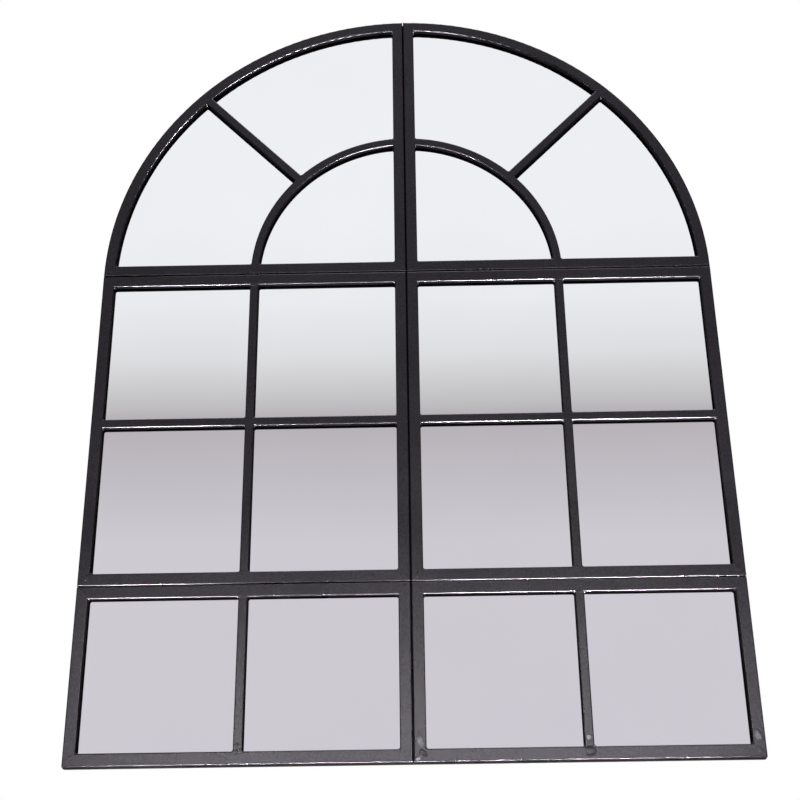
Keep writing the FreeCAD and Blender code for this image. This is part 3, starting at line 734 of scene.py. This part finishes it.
SHEEN_HEIGHT = 0.37                # the low softbox hangs this far above the mirror's underside
SHEEN_AHEAD = 3.0                  # and this far in front of the rails
EDGE_AHEAD = 0.06                  # the edge softboxes hang close in front of the rails
EDGE_AIM = (0, -0.866, 0.5)        # up and away, so that they only graze what is well above them
EDGE_DEPTH = 0.1
WHOLE_WIDTH, RIGHT_PANES, LEFT_PANE = (0.0, 1.1), (0.31, 0.52), (-0.49, 0.2)    # middle and width
EDGE_SOFTBOXES = (                 # height above the underside, stretch across, watts per metre
    (-0.2, WHOLE_WIDTH, 45),
    (0.03, RIGHT_PANES, 80),
    (0.03, LEFT_PANE, 80),
    (0.31, RIGHT_PANES, 120),
    (0.31, LEFT_PANE, 120),
)


def add_softbox(name, place, target, width, height, watts):
    """A flat lamp at place that points at target."""
    lamp = bpy.data.lights.new(name, "AREA")
    lamp.shape = "RECTANGLE"
    lamp.size, lamp.size_y = width, height
    lamp.energy = watts
    softbox = bpy.data.objects.new(name, lamp)
    scene.collection.objects.link(softbox)
    aim = Vector(target) - Vector(place)
    softbox.rotation_euler = aim.to_track_quat("-Z", "Y").to_euler()
    softbox.location = place
    softbox.visible_camera = False
    return softbox


def light_once(softbox):
    """Light only what the camera sees itself, and nothing that it sees in the mirror sheets."""
    softbox.data.cycles.max_bounces = 0
    softbox.data.cycles.use_multiple_importance_sampling = False


def set_lamps():
    add_softbox("overhead_softbox", place=(0.4, -0.9, 3.4), target=(0, 0, -0.4),
                width=3.0, height=1.6, watts=60)
    sheen = BOTTOM + SHEEN_HEIGHT
    light_once(add_softbox("low_softbox", place=(0, FRONT - SHEEN_AHEAD, sheen), target=(0, 0, sheen),
                           width=2.7, height=0.7, watts=16))
    add_softbox("rear_softbox", place=(-0.8, 3.2, 1.6), target=(0, 0, -0.6),
                width=2.4, height=1.6, watts=90)
    for above, (across, width), strength in EDGE_SOFTBOXES:
        place = Vector((across, FRONT - EDGE_AHEAD, BOTTOM + above))
        strip = add_softbox("edge_softbox", place=place, target=place + Vector(EDGE_AIM),
                            width=width, height=EDGE_DEPTH, watts=strength * width)
        strip.visible_diffuse = False
        light_once(strip)


# ---------------------------------------------------------------- camera

CAMERA_ACROSS = 0.0163                                           # right of the middle seam
CAMERA_AHEAD = 2.3526                                            # in front of the rails
CAMERA_BELOW = 0.3163                                            # under the bottom edge
CAMERA_PAN, CAMERA_TILT, CAMERA_ROLL = 0.675, 26.066, -0.7405    # degrees
CAMERA_LENS, CAMERA_FRAME = 65.26, 36.0                          # mm
CAMERA_RISE = 0.15                                               # shift of the lens, as a share of the width


def set_camera():
    lens = bpy.data.cameras.new("camera")
    lens.sensor_width = CAMERA_FRAME
    lens.lens = CAMERA_LENS
    lens.shift_y = -CAMERA_RISE
    lens.clip_end = 50.0
    camera = bpy.data.objects.new("camera", lens)
    scene.collection.objects.link(camera)
    turn = (Matrix.Rotation(math.radians(CAMERA_PAN), 4, "Z")
            @ Matrix.Rotation(math.radians(90 + CAMERA_TILT), 4, "X")
            @ Matrix.Rotation(math.radians(CAMERA_ROLL), 4, "Z"))
    place = Vector((CAMERA_ACROSS, FRONT - CAMERA_AHEAD, BOTTOM - CAMERA_BELOW))
    camera.matrix_world = Matrix.Translation(place) @ turn
    scene.camera = camera
    scene.view_settings.view_transform = "Standard"


weld_panels(dress_nodes(), rubbed_weld_with_painted_highlight())
make_floor()
make_studio_wall()
set_world()
set_lamps()
set_camera()
